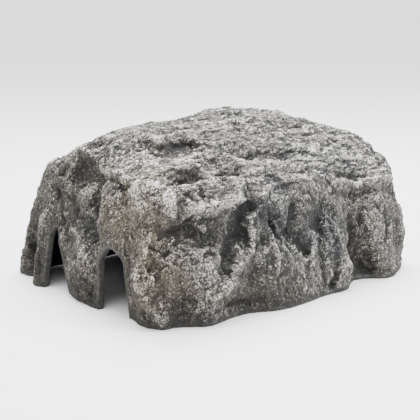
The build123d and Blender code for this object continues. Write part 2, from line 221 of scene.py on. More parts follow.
# ---- small crisp relief that only shows on the stone coat, same columns ----
CRISP_RELIEF = [
    ("brow crest", [(-244, 70, 241), (-249, 20, 235), (-252, -17, 224), (-254, -55, 217),
                    (-259, -110, 214)],
     12, 4, "left"),
    ("brow spur", [(-256, 44, 224), (-262, 54, 201), (-268, 48, 167)], 12, 4, "far"),
    ("hollow behind the spur", [(-261, 88, 200)], 20, -7),
    ("pit in the rear knob", [(-272, 98, 162)], 13, -6),
    ("groove behind the tear drop", [(-269, 43, 160), (-272, 26, 143)], 15, -5),
    ("groove before the tear drop", [(-270, -26, 178), (-275, -30, 149)], 16, -6),
    ("band under the brow", [(-261, -46, 208), (-260, -84, 206), (-263, -114, 202)], 14, -5),
    ("pale knob", [(-276, 31, 111)], 12, 6),
    ("pillar edge", [(-279, 66, 90), (-281, 47, 69), (-286, 18, 60)], 18, 6, "far"),
    ("pillar dimple", [(-284, 3, 76)], 14, -6),
    ("rear pillar seam", [(-277, 174, 56), (-290, 154, 8)], 12, -7),
    ("crease over the rear door", [(-275, 79, 134), (-277, 68, 118)], 12, -5),
    ("corner knob", [(-270, -179, 141)], 14, 6),
    ("corner rib", [(-274, -171, 127), (-276, -171, 100), (-278, -170, 76)], 13, 5, "right"),
    ("corner hollow", [(-266, -192, 92)], 18, -7),
    ("rim of the corner hollow", [(-273, -185, 80), (-263, -194, 106), (-248, -203, 110)],
     10, 4, "left"),
    ("corner crack", [(-270, -183, 123), (-262, -193, 118), (-250, -200, 119)], 9, -6),
    ("corner foot crest", [(-278, -170, 73), (-278, -184, 49), (-272, -194, 30), (-263, -205, 14)],
     14, 6, "right"),
    ("front left step edge", [(-266, -133, 201), (-259, -171, 209), (-228, -191, 214),
                              (-196, -200, 207)],
     14, 4, "near"),
    ("edge of the shoulder boss", [(-237, -193, 197), (-241, -196, 177), (-250, -196, 154)],
     18, 4, "right"),
    ("crease beside the lip", [(-190, -200, 207), (-192, -208, 184), (-197, -212, 166)], 10, -5),
    ("curved rib", [(-236, -201, 158), (-220, -204, 172), (-203, -207, 180)], 12, 6, "down"),
    ("lip belly", [(-190, -212, 170), (-158, -212, 164), (-132, -208, 170)], 18, 4, "down"),
    ("hanging lobe", [(-204, -213, 160), (-196, -217, 149)], 15, 8, "down"),
    ("hole right of the lip", [(-118, -210, 158), (-104, -210, 168)], 18, -7),
    ("rib in the gully", [(-177, -223, 105), (-165, -223, 88)], 9, 5),
    ("diagonal crest", [(-107, -215, 134), (-113, -218, 103), (-139, -220, 83), (-163, -225, 65),
                        (-196, -232, 42)],
     12, 5, "left"),
    ("blue hollow", [(-84, -225, 115), (-95, -222, 105)], 15, -7),
    ("thin crest", [(-74, -220, 154), (-71, -227, 123), (-62, -235, 89), (-66, -238, 64)],
     12, 6, "right"),
    ("thin crack", [(-68, -224, 141), (-51, -231, 118)], 9, -6),
    ("crest by the crack", [(-54, -228, 131), (-33, -234, 103), (-14, -236, 80)], 9, 5, "left"),
    ("notch line", [(-11, -221, 158), (-22, -226, 137), (-27, -230, 121), (-3, -232, 98),
                    (10, -233, 80)],
     13, -6),
    ("bay edge", [(-74, -212, 182), (-56, -208, 196), (-22, -205, 203), (14, -205, 201)], 12, 5, "down"),
    ("first rib", [(26, -227, 106), (24, -231, 82), (16, -235, 60)], 13, 5, "left"),
    ("second rib", [(68, -222, 115), (79, -226, 89), (89, -228, 62), (103, -229, 34)], 14, 5, "left"),
    ("gully between the ribs", [(47, -225, 108), (43, -232, 60), (50, -236, 19)], 15, -6),
    ("hollow over the ribs", [(40, -222, 128)], 16, -2),
    ("foot rib", [(-7, -239, 58), (-4, -243, 24)], 11, 5, "right"),
    ("boss groove", [(207, -211, 116), (211, -218, 80)], 12, -7),
    ("groove left of the boss", [(128, -205, 114), (137, -206, 76), (136, -207, 50)], 14, -7),
    ("pits on the boss", [(164, -212, 126), (196, -210, 132)], 11, -4),
    ("foot crack", [(73, -234, 32), (64, -236, 14)], 10, -9),
    ("undercut of the right foot", [(165, -209, 15), (212, -228, 13)], 15, -5),
    ("undercut of the slab", [(-149, -228, 22), (-115, -226, 17), (-92, -234, 20)], 17, -6),
    ("long ledge brow", [(122, -196, 174), (160, -199, 170), (210, -199, 172), (248, -186, 165)],
     11, 5, "down"),
    ("slot over the long ledge", [(108, -196, 191), (144, -193, 185), (175, -194, 182)], 10, -3),
    ("roof step lip", [(-243, -150, 224), (-214, -156, 231), (-190, -162, 230), (-150, -150, 232)],
     13, 5, "near"),
    ("roof step pit", [(-241, -182, 222), (-214, -186, 223), (-196, -185, 223), (-176, -177, 225)],
     15, -6),
    ("rim of the left pit", [(-198, -39, 259), (-175, -72, 255), (-145, -70, 257),
                             (-112, -76, 257), (-74, -100, 251)],
     12, 5, "near"),
    ("left pit", [(-191, -101, 247), (-167, -98, 250), (-141, -98, 252)], 18, -5),
    ("roof lip", [(-151, -124, 243), (-98, -122, 242), (-66, -149, 232)], 12, 5, "near"),
    ("hollow under the roof lip", [(-116, -170, 222), (-100, -180, 216)], 16, -7),
    ("lower roof lip", [(-137, -189, 214), (-98, -186, 212), (-74, -187, 213)], 11, 5, "near"),
    ("first roof dimple", [(-42, -136, 241)], 17, -6),
    ("second roof dimple", [(17, -148, 238), (26, -164, 230)], 14, -7),
    ("crest slot", [(84, -75, 268), (112, -73, 267), (133, -78, 264)], 12, -8),
    ("middle roof crack", [(0, -34, 276), (19, -59, 272), (32, -79, 267)], 9, -6),
    ("left roof crack", [(-124, -38, 268), (-109, -58, 263)], 9, -5),
    ("right roof crack", [(100, -107, 256), (138, -106, 254)], 9, -6),
    ("far roof crack", [(190, -78, 256), (196, -104, 248)], 10, -5),
    ("lowest roof crack", [(170, -124, 240), (196, -141, 228)], 12, -6),
    ("left roof hollow", [(-229, 27, 257)], 22, -6),
    ("first crest plate", [(-184, -60, 260), (-176, -8, 264), (-186, 60, 258)], 30, 6, "left"),
    ("second crest plate", [(-112, -66, 264), (-104, -10, 270), (-112, 50, 268)], 30, 3, "left"),
    ("third crest plate", [(22, -54, 276), (30, 6, 284), (20, 60, 282)], 32, 4, "left"),
    ("fourth crest plate", [(48, -30, 280), (60, 30, 284)], 30, 4, "left"),
    ("fifth crest plate", [(134, -50, 270), (146, 4, 276), (138, 50, 272)], 30, 6, "right"),
    ("sixth crest plate", [(206, -60, 252), (212, 0, 256)], 28, 5, "right"),
    ("left brow step", [(-252, 42, 243), (-230, 42, 251)], 16, 5, "left"),
    ("left roof plate", [(-218, 45, 255), (-200, 25, 260), (-165, 40, 264)], 22, 5, "left"),
    ("rear brow knob", [(-243, 168, 188), (-228, 156, 203)], 26, 5, "left"),
    ("right shoulder knob", [(268, -150, 196), (262, -170, 184)], 24, 8),
    ("right bulge knob", [(284, -195, 66)], 26, 4),
    ("right crest plate", [(148, -8, 274), (160, -18, 270)], 16, 4, "right"),
    ("dip before the crest", [(-66, -18, 276), (-26, -10, 280)], 30, -5),
    ("middle crest slot", [(96, -18, 280), (104, 36, 282)], 14, -4),
    ("roof crest step", [(0, -6, 284), (84, -16, 282), (150, 0, 276)], 15, 4, "near"),
    ("upper roof step", [(-150, -14, 268), (-96, -22, 271), (-40, -14, 276)], 15, 4, "near"),
    ("rear roof step", [(-130, 130, 246), (-20, 140, 250), (100, 132, 252)], 18, 5, "far"),
    ("right end rib", [(288, -150, 120), (292, -142, 60), (298, -128, 16)], 18, 6, "far"),
    ("right end crack", [(286, -30, 150), (292, -24, 84), (296, -40, 30)], 12, -8),
    ("right end crest", [(280, 40, 170), (290, 62, 110), (296, 60, 40)], 16, 6, "near"),
    ("right end pit", [(282, 118, 126), (280, 134, 90)], 20, -8),
    ("rear left rib", [(-210, 200, 150), (-200, 206, 80), (-214, 208, 20)], 18, 6, "left"),
    ("rear crack", [(-70, 200, 150), (-58, 204, 96), (-76, 206, 30)], 12, -8),
    ("rear middle rib", [(40, 196, 160), (34, 202, 90), (56, 206, 22)], 18, 6, "left"),
    ("rear hollow", [(110, 204, 50)], 30, -9),
    ("rear right crest", [(190, 192, 150), (204, 200, 84), (196, 204, 20)], 18, 6, "left"),
]

# Where the stone is painted lighter (above 0) or darker (below 0), same columns: partly the painter's
# own off-white and dark wash, partly painted highlight on lit tops and ledges and painted shade in
# hollows, pits and under ledges.
TONE_AND_LIGHT_TOUCHES = [
    ("pale corner top", [(-260, -120, 220), (-250, -190, 210)], 34, 0.65),
    ("pale corner", [(-280, -180, 190), (-250, -200, 175)], 34, 0.35),
    ("pale ridge below the corner", [(-275, -180, 145), (-275, -185, 105), (-270, -200, 65)],
     18, 0.25),
    ("pale lip", [(-205, -220, 185), (-155, -220, 180), (-125, -220, 185)], 18, 0.65),
    ("pale slab", [(-225, -210, 120), (-205, -235, 75)], 34, 0.20),
    ("pale boss", [(165, -215, 130), (185, -230, 75)], 36, 0.50),
    ("pale ribs", [(20, -225, 110), (60, -225, 90), (90, -240, 45)], 16, 0.35),
    ("pale right brow", [(125, -200, 180), (235, -200, 170)], 13, 0.6),
    ("pale right roof", [(60, -145, 240), (125, -150, 230), (225, -165, 205)], 28, 0.5),
    ("pale back plates", [(-45, -10, 275), (45, -30, 280), (150, -5, 275)], 40, 0.32),
    ("pale left roof", [(-235, -55, 240), (-220, -140, 240), (-155, -130, 235)], 28, 0.55),
    ("pale roof rim", [(-145, -85, 240), (-65, -145, 230)], 12, 0.55),
    ("pale pillar knob", [(-275, 40, 110), (-280, 5, 110)], 12, 0.45),
    ("pale near shoulder", [(-265, -95, 190), (-270, -120, 168), (-275, -155, 195)], 34, 0.65),
    ("pale rear shoulder", [(-260, 150, 175), (-275, 110, 150)], 24, 0.20),
    ("pale edge right of the gully", [(-135, -235, 90), (-110, -240, 110)], 14, 0.35),
    ("dark left brow", [(-260, 105, 195), (-260, 45, 215), (-250, 0, 220)], 28, -0.6),
    ("dark under the brow", [(-270, -65, 205), (-265, -110, 195)], 20, -0.35),
    ("dark left recess", [(-270, 40, 140), (-270, -25, 115)], 26, -0.45),
    ("dark rear corner", [(-275, 170, 95), (-285, 180, 25)], 60, -1.0),
    ("dark rear pillar", [(-300, 105, 45), (-300, 100, 10)], 48, -1.0),
    ("dark centre pillar", [(-300, 0, 20), (-290, -60, 20)], 34, -0.65),
    ("dark front recess", [(-235, -190, 150), (-185, -205, 130), (-155, -210, 145)], 26, -0.75),
    ("dark gully", [(-115, -205, 145), (-135, -205, 120), (-160, -220, 80)], 22, -0.7),
    ("dark gully head", [(-165, -215, 138), (-145, -212, 115)], 22, -0.50),
    ("pale knob over the ribs", [(45, -215, 132), (50, -222, 112)], 12, 0.40),
    ("dark hollow beside the lip", [(-100, -215, 165)], 16, -0.35),
    ("dark band over the lip", [(-185, -205, 205), (-110, -210, 195)], 22, -0.5),
    ("dark middle of the front", [(-85, -220, 160), (0, -220, 125), (50, -220, 140)], 40, -0.62),
    ("dark crack", [(-15, -215, 145), (0, -220, 105)], 18, -0.40),
    ("dark slab foot", [(-155, -235, 35), (-95, -240, 15), (-20, -245, 15)], 24, -0.55),
    ("dark right foot", [(160, -200, 15), (205, -230, 20)], 26, -0.5),
    ("dark roof pit", [(-165, -80, 250), (-120, -75, 255)], 20, -0.95),
    ("dark crest slot", [(105, -60, 265), (140, -60, 260)], 10, -0.8),
    ("dark roof dimple", [(-30, -125, 240)], 12, -0.75),
    ("second dark dimple", [(40, -145, 235)], 16, -0.7),
    ("dark pit over the lip", [(-230, -175, 220), (-165, -165, 225)], 14, -0.8),
    ("dark right slot", [(115, -190, 190), (185, -185, 185)], 11, -0.25),
    ("dark front roof", [(-110, -155, 220), (-90, -175, 215)], 18, -0.6),
    ("dark left roof edge", [(-220, 45, 255), (-250, 35, 240)], 16, -0.6),
    ("pale right end bulge", [(300, -115, 100), (300, -40, 120)], 50, 0.40),
    ("dark right end gully", [(290, 0, 60), (285, 10, 160)], 34, -0.55),
    ("pale right end ridge", [(295, 90, 50), (275, 86, 170)], 30, 0.30),
    ("dark right end foot", [(300, -150, 15), (305, 30, 15), (290, 140, 15)], 26, -0.40),
    ("pale rear bulge", [(150, 205, 100), (90, 205, 140)], 55, 0.35),
    ("dark rear gully", [(10, 200, 40), (-10, 195, 165)], 36, -0.55),
    ("pale rear slab", [(-130, 210, 120), (-170, 210, 70)], 50, 0.30),
    ("pale rear brow", [(-160, 190, 180), (-40, 190, 190), (60, 190, 190)], 18, 0.40),
    ("dark rear foot", [(-230, 210, 15), (0, 215, 15), (220, 205, 15)], 26, -0.40),
    ("dark rear roof", [(-140, 120, 250), (-20, 135, 255)], 30, -0.35),
]

# Tan (above 0) and blue-grey (below 0) areas of the paint, same columns; the blue-grey in the gullies
# and recesses is partly painted shade.
TINTS = [
    ("tan near corner", [(-262, -150, 210), (-276, -178, 140), (-272, -196, 60)], 85, 1.0),
    ("tan over the front door", [(-270, -95, 150)], 60, 0.6),
    ("tan slab foot", [(-150, -232, 40), (-60, -238, 40)], 60, 0.5),
    ("tan left roof", [(-160, -110, 245)], 90, 0.4),
    ("blue-grey middle", [(-80, -215, 170), (10, -225, 110), (60, -225, 80)], 80, -0.9),
    ("blue-grey gully", [(-130, -210, 140), (-160, -222, 80)], 45, -0.8),
    ("blue-grey right brow", [(60, -170, 225), (190, -160, 220)], 70, -0.7),
    ("blue-grey left recess", [(-272, -10, 125)], 50, -0.8),
    ("tan right end", [(295, -60, 90)], 90, 0.5),
    ("blue-grey right end gully", [(290, 0, 100)], 60, -0.6),
    ("tan rear bulge", [(120, 205, 110)], 90, 0.5),
    ("blue-grey rear gully", [(0, 200, 100)], 70, -0.6),
]


# ---------------------------------------------------------------- the form

def along(points, share):
    """Points of a smooth curve through the given points, at shares 0..1 of its length."""
    pts = np.array(points, float)
    run = np.concatenate([[0], np.cumsum(np.linalg.norm(np.diff(pts, axis=0), axis=1))])
    place = np.interp(share, run / run[-1], np.arange(len(pts)))
    i = np.clip(place.astype(int), 0, len(pts) - 2)
    f = (place - i)[:, None]
    a = pts[i]
    b = pts[i + 1]
    slope_a = (b - pts[np.maximum(i - 1, 0)]) / 2
    slope_b = (pts[np.minimum(i + 2, len(pts) - 1)] - a) / 2
    return (a * (2 * f**3 - 3 * f**2 + 1) + b * (3 * f**2 - 2 * f**3)
            + slope_a * (f**3 - 2 * f**2 + f) + slope_b * (f**3 - f**2))


def ring(sides, counts):
    """One closed ring of points round the rock, each side cut into equal cells."""
    return np.concatenate([along(side, np.arange(n) / n) for side, n in zip(sides, counts)])


def wall_rows(foot, brow, rows):
    """Rings of points from the floor to the brow."""
    h = (np.arange(rows + 1) / rows)[:, None]
    lean = STRAIGHT_LEAN * h + BENT_LEAN * (1 - np.sqrt(np.clip(1 - h**4, 0, 1)))
    x = foot[:, 0] + (brow[:, 0] - foot[:, 0]) * lean
    y = foot[:, 1] + (brow[:, 1] - foot[:, 1]) * lean
    return np.stack([x, y, brow[:, 2] * h], -1)


def roof_grid(brow, n, m):
    """The domed roof, stretched between the four sides of the brow."""
    front = brow[:n + 1]
    right = brow[n:n + m + 1]
    rear = brow[n + m:2 * n + m + 1][::-1]
    left = np.concatenate([brow[2 * n + m:], brow[:1]])[::-1]
    s = np.linspace(0, 1, n + 1)[:, None, None]
    t = np.linspace(0, 1, m + 1)[None, :, None]
    corners = ((1 - s) * (1 - t) * front[0] + s * (1 - t) * front[-1]
               + (1 - s) * t * rear[0] + s * t * rear[-1])
    grid = ((1 - t) * front[:, None] + t * rear[:, None]
            + (1 - s) * left[None] + s * right[None] - corners)
    across = np.abs(2 * s[..., 0] - 1)
    deep = 2 * t[..., 0] - 1
    deep = np.abs(deep - CREST_BACK * (1 - deep**2))
    grid[..., 2] += CROWN_RISE * (1 - across**6) * (1 - deep**3)
    return grid


def rock_grid(cell):
    """Points and four-cornered faces of the smooth rock, and the group each face is in."""
    n = round(FRONT_RUN / cell)
    m = round(END_RUN / cell)
    rows = round(WALL_RUN / cell)
    counts = (n, m, n, m)
    foot = ring((FRONT_FOOT, RIGHT_FOOT, REAR_FOOT, LEFT_FOOT), counts)
    brow = ring((FRONT_BROW, RIGHT_BROW, REAR_BROW, LEFT_BROW), counts)
    walls = wall_rows(foot, brow, rows)
    roof = roof_grid(brow, n, m)
    count = len(foot)
    last = rows * count
    number = np.full((n + 1, m + 1), -1)
    number[:, 0] = last + np.arange(n + 1)
    number[n, :] = last + n + np.arange(m + 1)
    number[::-1, m] = last + n + m + np.arange(n + 1)
    number[0, ::-1] = last + (2 * n + m + np.arange(m + 1)) % count
    number[1:n, 1:m] = (rows + 1) * count + np.arange((n - 1) * (m - 1)).reshape(n - 1, m - 1)
    points = np.concatenate([walls.reshape(-1, 3), roof[1:n, 1:m].reshape(-1, 3)])
    i = np.arange(count)
    j = (i + 1) % count
    k = (np.arange(rows) * count)[:, None]
    wall_faces = np.stack([k + i, k + j, k + count + j, k + count + i], -1).reshape(-1, 4)
    side = np.repeat(np.arange(4), counts)
    wall_groups = np.tile(side, rows)
    roof_faces = np.stack([number[:-1, :-1], number[1:, :-1], number[1:, 1:], number[:-1, 1:]], -1)
    roof_faces = roof_faces.reshape(-1, 4)
    faces = np.concatenate([wall_faces, roof_faces])
    groups = np.concatenate([wall_groups, np.full(len(roof_faces), 4)])
    return points, faces, groups, count


def outward(points, faces):
    """Unit vector pointing out of the rock at each point."""
    across = points[faces[:, 2]] - points[faces[:, 0]]
    up = points[faces[:, 3]] - points[faces[:, 1]]
    normal = np.cross(across, up)
    total = np.zeros_like(points)
    for corner in range(4):
        for axis in range(3):
            total[:, axis] += np.bincount(faces[:, corner], normal[:, axis], len(points))
    return total / np.maximum(np.linalg.norm(total, axis=1), 1e-9)[:, None]


def level_near_floor(directions, points):
    """The same directions, but flat where the rock meets the floor."""
    flat = directions.copy()
    flat[:, 2] *= np.clip((points[:, 2] - LEVEL_BELOW) / LEVEL_FADE, 0, 1)
    return flat / np.linalg.norm(flat, axis=1)[:, None]


def smoothed(values, edges, times):
    """Values at the points, averaged with their neighbours the given number of times."""
    a, b = edges[:, 0], edges[:, 1]
    size = len(values)
    share = np.bincount(a, minlength=size) + np.bincount(b, minlength=size) + 1.0
    result = values.copy().reshape(size, -1)
    for _ in range(times):
        fresh = result.copy()
        for axis in range(result.shape[1]):
            fresh[:, axis] += np.bincount(a, result[b, axis], size)
            fresh[:, axis] += np.bincount(b, result[a, axis], size)
        result = fresh / share[:, None]
    return result.reshape(values.shape)


def edges_of(faces):
    """Each edge of the faces once, as pairs of point numbers."""
    pairs = np.concatenate([faces[:, (0, 1)], faces[:, (1, 2)], faces[:, (2, 3)], faces[:, (3, 0)]])
    pairs.sort(axis=1)
    return np.unique(pairs, axis=0)


def reach_to_path(points, path, steep_side=None):
    """Distance of each point from a bent line; on its steep side the distance counts for more."""
    path = np.array(path, float)
    best = np.full(len(points), np.inf)
    for a, b in zip(path, np.concatenate([path[1:], path[-1:]])):
        share = np.clip((points - a) @ (b - a) / max((b - a) @ (b - a), 1e-9), 0, 1)
        gap = points - a - share[:, None] * (b - a)
        if steep_side:
            downhill = np.array(DOWNHILL[steep_side])
            gap = gap + downhill * np.clip(gap @ downhill, 0, None)[:, None] * (STEEPER - 1)
        best = np.minimum(best, np.linalg.norm(gap, axis=1))
    return best


def relief_height(points, relief, crispness=0.0):
    """How far a list of relief strokes pushes each point out."""
    push = np.zeros(len(points))
    for _, path, reach, height, *steep_side in relief:
        near = np.clip(1 - reach_to_path(points, path, *steep_side) / reach, 0, 1)
        soft = near**2 * (3 - 2 * near)
        push += height * (soft + (near**1.2 - soft) * crispness)
    return push


# ---------------------------------------------------------------- the chipping

def field(points, function):
    """A function of place, worked out at every point."""
    return np.array([function(Vector(p)) for p in points.tolist()])


def chip_plane(place, turn):
    """Height of the flat chip that holds this place, in shares of the chip's size."""
    near = noise.voronoi(place)[1][0]
    lean = noise.cell_vector((near + turn) * 7.31)
    return lean.dot(place - near)


def chips(points, size, stretch, turn):
    """Flat chips with crisp edges, of about the given size."""
    shrink = np.array(stretch) / size
    turn = Vector((turn, -turn, 2 * turn))
    return field(points * shrink, lambda p: chip_plane(p, turn)) * size


def ledges(points, spacing, direction, wander):
    """Layered steps: each rises gently and breaks off sharply."""
    run = points @ (np.array(direction) / np.linalg.norm(direction))
    drift = field(points / (spacing * 3.2), lambda p: noise.fractal(p, 0.8, 2.0, 3))
    step = (run / spacing + wander * drift) % 1.0
    return np.where(step < 0.82, step / 0.82, (1 - step) / 0.18) - 0.5


def wrinkles(points, size):
    """Sharp little crests that run on for a few sizes, from about -1 to 1."""
    return 1 - 3.2 * np.abs(field(points / size, lambda p: noise.fractal(p, 0.8, 2.0, 2)))


def cracks(points, size, width):
    """Thin wandering lines, 1 in the middle of a crack and 0 away from it."""
    run = field(points / size, lambda p: noise.fractal(p, 0.9, 2.0, 4))
    here = field(points / (size * 1.7) + 31.0, lambda p: noise.noise(p))
    return np.clip(1 - np.abs(run) / width, 0, 1) * np.clip(here * 3 + 0.4, 0, 1)


def chipping(points, bent, directions):
    """How far the broken surface stands out of the carved rock at each point, mm."""
    upward = np.clip(directions[:, 2] * 1.6 - 0.3, 0, 1)
    broad = field(bent / 36, lambda p: noise.ridged_multi_fractal(p, 1.0, 2.1, 4, 0.95, 2.0))
    broad = np.clip((broad - broad.mean()) / broad.std(), -2.0, 2.0)
    medium = chips(bent, 24, (1, 1, 0.6), 4.1)
    fine = chips(bent, 11, (1, 1, 0.8), 8.3)
    strata = ledges(bent * (0.4, 1, 1), 14, (0.1, -0.6, -0.79), 1.0)
    ribs = ledges(bent * (1, 1, 0.6), 21, (0.86, 0.3, 0.35), 1.0)
    shelves = ledges(bent * (0.35, 1, 1), 40, (0.15, -0.8, -0.6), 1.3)
    grain = field(points / 5.0, lambda p: noise.fractal(p, 0.45, 2.1, 3))
    along_roof = wrinkles(bent * (0.4, 1.0, 1.3), 8)
    down_walls = wrinkles(bent * (1.2, 1.0, 0.45), 8)
    push = 0.28 * broad + 0.10 * medium + 0.13 * fine + 0.35 * grain
    push += 1.15 * along_roof * upward + 0.65 * down_walls * (1 - upward)
    push += strata * (0.7 + 0.9 * upward) + ribs * (0.6 - 0.5 * upward) + shelves * 4.0 * upward
    push -= 2.2 * cracks(bent, 36, 0.035) + 1.4 * cracks(bent + 70, 17, 0.05)
    return push


# ---------------------------------------------------------------- the doors

def door_outline(door, grow=0.0):
    """Corner points y z of an arched door, grown by the given width where asked."""
    far_foot = door["far_foot"] + grow
    near_foot = door["near_foot"] - grow
    far = door["far_spring"] + grow
    near = door["near_spring"] - grow
    rise = door["top"] + grow - door["spring"]
    up_the_jamb = np.arange(1, JAMB_STEPS) / JAMB_STEPS
    points = [(far_foot, -DOOR_BELOW), (far_foot, 0.0)]
    points += [(far_foot + (far - far_foot) * share, door["spring"] * share) for share in up_the_jamb]
    for step in range(DOOR_ARC_STEPS + 1):
        turn = math.pi * step / DOOR_ARC_STEPS
        points.append(((far + near) / 2 + (far - near) / 2 * math.cos(turn),
                       door["spring"] + rise * math.sin(turn)))
    points += [(near_foot + (near - near_foot) * share, door["spring"] * share)
               for share in up_the_jamb[::-1]]
    points += [(near_foot, 0.0), (near_foot, -DOOR_BELOW)]
    return np.array(points)


def clear_of_outline(places, outline):
    """Signed distance from a closed outline, positive outside it, and the nearest point on it."""
    best = np.full(len(places), 1e9)
    nearest = np.zeros_like(places)
    inside = np.zeros(len(places), bool)
    for a, b in zip(outline, np.roll(outline, -1, axis=0)):
        share = np.clip((places - a) @ (b - a) / ((b - a) @ (b - a)), 0, 1)
        foot = a + share[:, None] * (b - a)
        gap = np.linalg.norm(places - foot, axis=1)
        closer = gap < best
        best[closer] = gap[closer]
        nearest[closer] = foot[closer]
        crosses = (a[1] > places[:, 1]) != (b[1] > places[:, 1])
        at = a[0] + (places[:, 1] - a[1]) * (b[0] - a[0]) / ((b[1] - a[1]) or 1e-9)
        inside ^= crosses & (places[:, 0] < at)
    return np.where(inside, -best, best), nearest


def clear_of_doors(points, grow=0.0):
    """Signed distance of left-end points from the nearer door, and where its edge is."""
    gap = np.full(len(points), 1e6)
    edge = np.zeros((len(points), 2))
    left = np.flatnonzero(points[:, 0] < LEFT_END_INNER)
    for door in DOORS.values():
        here, nearest = clear_of_outline(points[left, 1:], door_outline(door, grow))
        closer = here < gap[left]
        gap[left[closer]] = here[closer]
        edge[left[closer]] = nearest[closer]
    return gap, edge


# ---------------------------------------------------------------- placing in the frame

place = {}


def fit_to_frame(points):
    """Remember how working millimetres become frame metres: the carved rock fills the CAD box."""
    low = points.min(axis=0)
    high = points.max(axis=0)
    cad_size = np.array(cad_high) - np.array(cad_low)
    place["scale"] = cad_size / (high - low)
    place["shift"] = np.array(cad_low) - low * place["scale"]


def to_frame(points):
    """Working millimetres to frame metres."""
    return points * place["scale"] + place["shift"]


# ---------------------------------------------------------------- meshes

def make_mesh(name, points, faces):
    """A smooth-shaded mesh object from working points in mm."""
    mesh = bpy.data.meshes.new(name)
    corners = [list(map(int, face)) for face in faces]
    mesh.from_pydata(to_frame(np.asarray(points, float)).tolist(), [], corners)
    mesh.validate()
    mesh.polygons.foreach_set("use_smooth", np.ones(len(mesh.polygons), bool))
    item = bpy.data.objects.new(name, mesh)
    bpy.context.scene.collection.objects.link(item)
    return item


def dress(item, node, paint):
    """Tie a piece to its body and the CAD node it stands for, and paint it."""
    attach(item, "root")
    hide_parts(node)
    item.data.materials.append(paint)


def write_values(item, name, values):
    """Store one number per point on the mesh for its material."""
    layer = item.data.attributes.new(name, "FLOAT", "POINT")
    layer.data.foreach_set("value", values.astype(np.float32))


def kept_part(points, faces, keep):
    """Only the kept faces, with their points renumbered, and the old numbers of those points."""
    faces = faces[keep]
    used = np.unique(faces)
    fresh = np.full(len(points), -1)
    fresh[used] = np.arange(len(used))
    return points[used], fresh[faces], used


def thick_sheet(outer, inner, faces):
    """Points and faces of a closed sheet between two surfaces that share the same faces."""
    size = len(outer)
    points = np.concatenate([outer, inner])
    directed = np.concatenate([faces[:, (0, 1)], faces[:, (1, 2)], faces[:, (2, 3)], faces[:, (3, 0)]])
    known = set(map(tuple, directed.tolist()))
    border = [(a, b) for a, b in directed.tolist() if (b, a) not in known]
    walls = [(b, a, a + size, b + size) for a, b in border]
    return points, list(faces.tolist()) + [face[::-1] for face in (faces + size).tolist()] + walls


def swept(path, sideways, upward, profiles):
    """A closed bar: at every path point its own profile of (sideways, upward) steps, mm."""
    length, turns = len(path), len(profiles[0])
    points = []
    for spot, side, rise, profile in zip(path, sideways, upward, profiles):
        points += [spot + side * u + rise * v for u, v in profile]
    faces = []
    for i in range(length - 1):
        for j in range(turns):
            k = (j + 1) % turns
            faces.append((i * turns + j, i * turns + k, (i + 1) * turns + k, (i + 1) * turns + j))
    faces.append(tuple(range(turns))[::-1])
    faces.append(tuple((length - 1) * turns + j for j in range(turns)))
    return np.array(points), faces


# ---------------------------------------------------------------- the pieces

def wander(points):
    """The points nudged a few mm, so that no carved stroke runs straight, and the same points
    nudged further for the chipping."""
    slow = field(points / 46, lambda p: noise.turbulence_vector(p, 3, False))
    quick = field(points / 15 + 9.0, lambda p: noise.turbulence_vector(p, 2, False))
    return points + slow * 3.5 + quick * 1.2, points + slow * 13.0


def carved_rock(cell):
    """The rock's grid with all its relief, before the chipping; also the nudged points."""
    points, faces, groups, count = rock_grid(cell)
    nudged, bent = wander(points)
    lie = level_near_floor(outward(points, faces), points)
    points = points + lie * relief_height(nudged, RELIEF)[:, None]
    if not place:
        fit_to_frame(points)
    lie = level_near_floor(outward(points, faces), points)
    gap, _ = clear_of_doors(points)
    quiet = np.clip((gap - DOOR_CALM) / DOOR_QUIET, 0, 1)
    quiet = quiet * quiet * (3 - 2 * quiet)
    points = points + lie * (relief_height(nudged, CRISP_RELIEF, 0.7) * quiet)[:, None]
    return points, faces, groups, count, bent, quiet


def stone_coat():
    """The visible rock: fine grid, carved, chipped, cut out at the doors."""
    points, faces, _, count, bent, quiet = carved_rock(CELL)
    lie = level_near_floor(outward(points, faces), points)
    low = np.clip(points[:, 2] / CALM_BELOW, 0.35, 1)
    points = points + lie * (chipping(points, bent, lie) * (0.1 + 0.9 * quiet) * low)[:, None]
    foot = points[:count].copy()
    raised = np.clip(1 - points[:, 2] / RAISED_BELOW, 0, 1)
    points[:, 2] = np.maximum(points[:, 2], 0) + FOOT_LINE * raised
    gap, edge = clear_of_doors(points, LIP_SHOWS)
    close = np.abs(gap) < STICK * CELL
    points[close, 1:] = edge[close]
    gap[close] = 0
    keep = gap[faces].mean(axis=1) > 0
    points, faces, used = kept_part(points, faces, keep)
    item = make_mesh("stone_coat", points, faces)
    write_paint_guides(item, points, faces)
    dress(item, "stone_skin", stone_paint())
    return points[gap[used] == 0], foot


def write_paint_guides(item, points, faces):
    """Values the paint is laid on by: how proud or sunk each spot is at three scales, which also
    place painted shade in what is sunk, and its lie, which places a painted highlight on what faces up.
    """
    edges = edges_of(faces)
    away = outward(points, faces)
    for name, times in (("proud_fine", 2), ("proud_mid", 12), ("proud_broad", 70)):
        even = smoothed(points, edges, times)
        proud = ((points - even) * away).sum(axis=1)
        spread = np.percentile(np.abs(proud), 80)
        write_values(item, name, np.clip(proud / spread, -3, 3))
    # the lie sets the painted highlight on what faces up
    write_values(item, "lies_up", smoothed(away, edges, 5)[:, 2])
    write_values(item, "faces_left", np.clip(-smoothed(away, edges, 40)[:, 0], 0, 1))
    # lighter and darker marks, partly paint and partly painted highlight and painted shade
    write_values(item, "tone_and_painted_light", np.clip(relief_height(points, TONE_AND_LIGHT_TOUCHES), -1, 1))
    write_values(item, "tint", np.clip(relief_height(points, TINTS), -1, 1))
    gap, _ = clear_of_doors(points)
    write_values(item, "door_gap", np.clip(gap, 0, 60))


